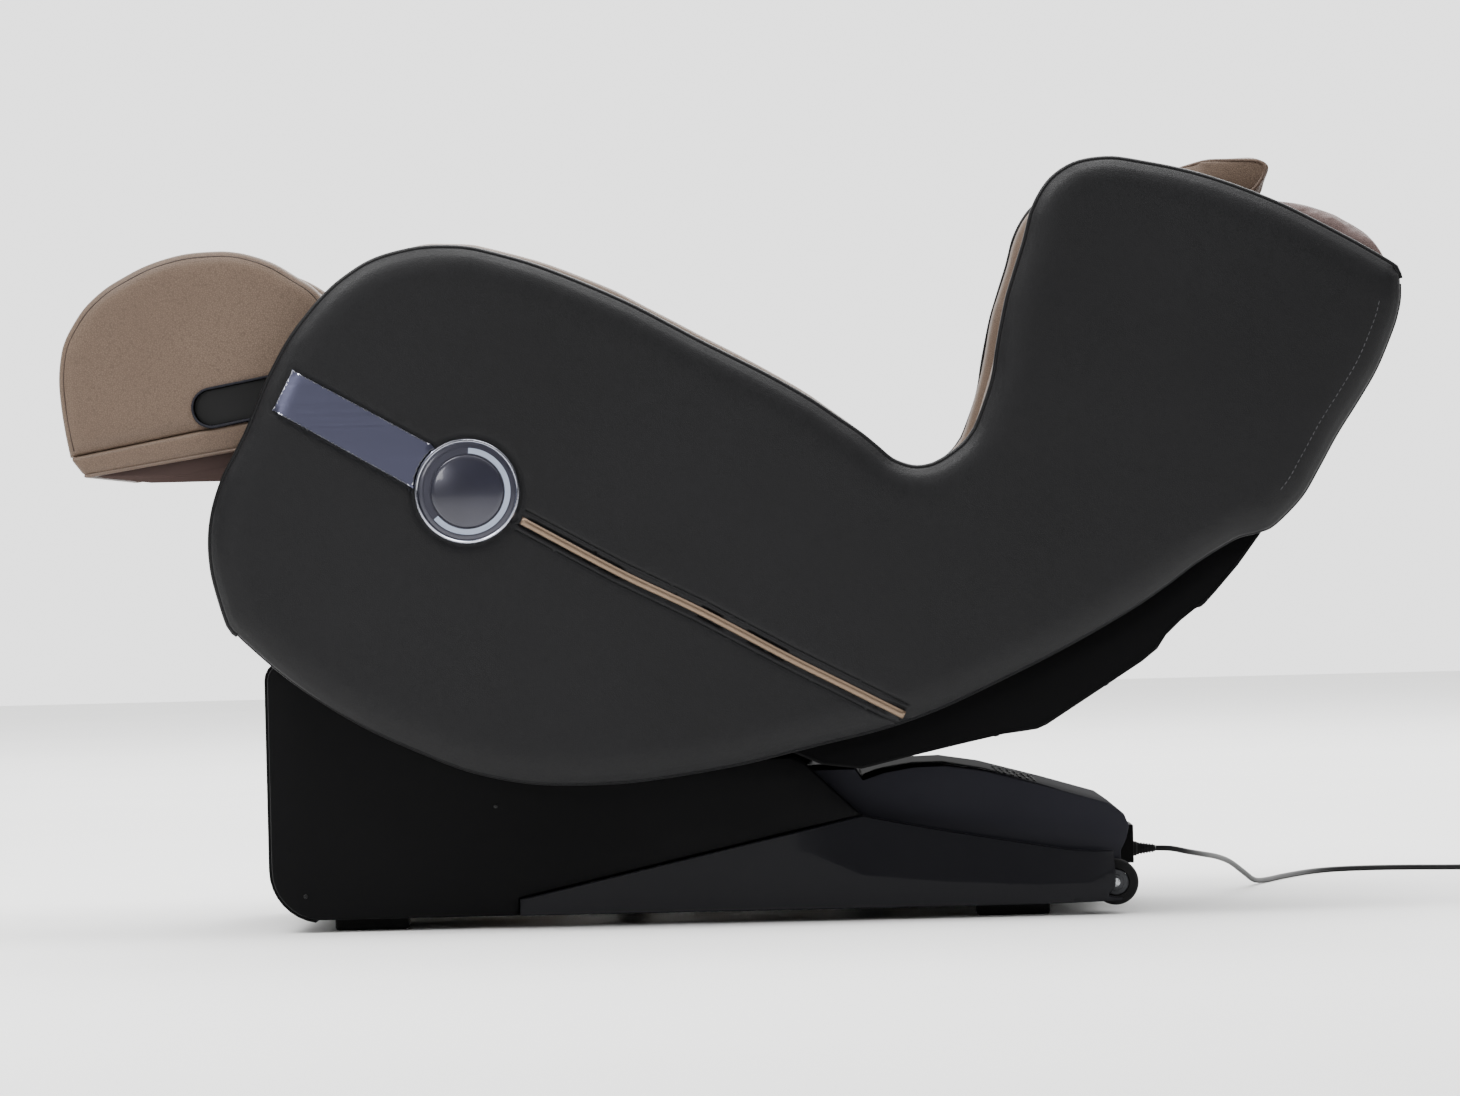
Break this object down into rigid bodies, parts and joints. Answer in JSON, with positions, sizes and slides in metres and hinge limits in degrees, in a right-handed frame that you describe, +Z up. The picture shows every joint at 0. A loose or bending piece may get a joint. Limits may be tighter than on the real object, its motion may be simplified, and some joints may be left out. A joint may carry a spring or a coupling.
{
  "type": "massage chair",
  "caption": "Reclining massage chair with padded side panels, a lifting leg rest with calf troughs, a tilting seat shell and a low base.",
  "frame": {"origin": "on the floor, under the middle of the chair's bounding box without its mains lead", "axes": "+X towards the head end, +Y towards the sitter's right, +Z up"},
  "size_m": [1.906, 1.0932, 0.9234],
  "materials": {
    "beige_leather": "soft grey-beige leather",
    "black_leather": "soft pebbled leather, matte sheen",
    "black_plastic": "moulded, fine texture",
    "bright_steel": "zinc plated",
    "champagne_trim": "anodised champagne",
    "dark_chrome": "dark chrome plating",
    "dial_glass": "smoked lens",
    "gloss_plastic": "moulded, polished",
    "grey_nylon": "moulded nylon",
    "mauve_leather": "brown-mauve leather",
    "painted_steel": "black powder coat",
    "rubber": "matte"
  },
  "bodies": {
    "base": {"base_frame": "painted_steel", "base_front_cover": "black_plastic", "base_side_cover_left": "black_plastic", "base_side_cover_right": "black_plastic", "base_skirt_left": "gloss_plastic", "base_skirt_right": "gloss_plastic", "rear_cover": "gloss_plastic", "power_inlet": "black_plastic", "front_foot_left": "rubber", "front_foot_right": "rubber", "rear_foot_left": "rubber", "rear_foot_right": "rubber", "wheel_axle": "bright_steel", "control_box": "painted_steel", "air_pump": "grey_nylon", "recline_shaft": "bright_steel", "cord_strain_relief": "rubber", "power_cord": "rubber", "cord_coil": "rubber", "mains_plug": "rubber"},
    "wheel_left": {"transport_wheel_left": "rubber"},
    "wheel_right": {"transport_wheel_right": "rubber"},
    "switch": {"power_switch": "black_plastic"},
    "actuator_tube": {"actuator_tube": "painted_steel"},
    "actuator_rod": {"actuator_rod": "bright_steel"},
    "seat": {"side_panel_left": "black_leather", "side_panel_right": "black_leather", "arm_liner_left": "beige_leather", "arm_liner_right": "beige_leather", "chrome_blade_left": "dark_chrome", "chrome_blade_right": "dark_chrome", "dial_bezel_left": "dark_chrome", "dial_bezel_right": "dark_chrome", "dial_face_left": "dial_glass", "dial_face_right": "dial_glass", "champagne_stripe_left": "champagne_trim", "champagne_stripe_right": "champagne_trim", "seat_rail_left": "painted_steel", "seat_rail_right": "painted_steel", "track_rail_left": "painted_steel", "track_rail_right": "painted_steel", "front_cross_tube": "painted_steel", "hip_cross_tube": "painted_steel", "top_cross_tube": "painted_steel", "seat_cushion": "beige_leather", "back_cushion": "beige_leather", "head_pillow": "beige_leather", "head_cap": "mauve_leather", "back_shell": "black_plastic", "leg_rest_motor": "painted_steel"},
    "carriage": {"massage_carriage": "grey_nylon"},
    "rollers": {"kneading_rollers": "grey_nylon"},
    "leg_rest": {"leg_rest_arms": "painted_steel"},
    "foot_rest": {"leg_side_wall_left": "beige_leather", "leg_side_wall_right": "beige_leather", "leg_divider": "beige_leather", "calf_pad_left": "beige_leather", "calf_pad_right": "beige_leather", "foot_rest_band": "beige_leather", "foot_rest_pan": "mauve_leather"}
  },
  "joints": [
    {"name": "recline", "type": "hinge", "parent": "base", "child": "seat", "pos_m": [-0.05, 0, 0.155], "axis": [0, -1, 0], "range_deg": [0, 25]},
    {"name": "actuator_swing", "type": "hinge", "parent": "base", "child": "actuator_tube", "pos_m": [-0.15, 0, 0.066], "axis": [0, -1, 0], "range_deg": [0, 24.5]},
    {"name": "actuator_stroke", "type": "slide", "parent": "actuator_tube", "child": "actuator_rod", "axis": [-0.4356, 0, 0.9002], "range_m": [-0.058, 0]},
    {"name": "leg_rest_lift", "type": "hinge", "parent": "seat", "child": "leg_rest", "pos_m": [-0.47, 0, 0.64], "axis": [0, -1, 0], "range_deg": [0, 55]},
    {"name": "foot_rest_extend", "type": "slide", "parent": "leg_rest", "child": "foot_rest", "axis": [-0.9842, 0, -0.1771], "range_m": [0, 0.08]},
    {"name": "carriage_travel", "type": "slide", "parent": "seat", "child": "carriage", "axis": [0.766, 0, 0.6428], "range_m": [-0.05, 0.37]},
    {"name": "roller_spin", "type": "hinge", "parent": "carriage", "child": "rollers", "pos_m": [0.2952, 0, 0.42628], "axis": [0, 1, 0], "continuous": true},
    {"name": "wheel_left_spin", "type": "hinge", "parent": "base", "child": "wheel_left", "pos_m": [0.455, -0.2365, 0.0385], "axis": [0, 1, 0], "continuous": true},
    {"name": "wheel_right_spin", "type": "hinge", "parent": "base", "child": "wheel_right", "pos_m": [0.455, 0.2365, 0.0385], "axis": [0, 1, 0], "continuous": true},
    {"name": "switch_tilt", "type": "hinge", "parent": "base", "child": "switch", "pos_m": [0.4845, 0.022, 0.077], "axis": [0, 1, 0], "range_deg": [0, 10]}
  ],
  "couplings": [
    {"joint": "actuator_swing", "follows": "recline", "ratio": 0.971},
    {"joint": "actuator_stroke", "follows": "recline", "m_per_rad": -0.1315}
  ]
}
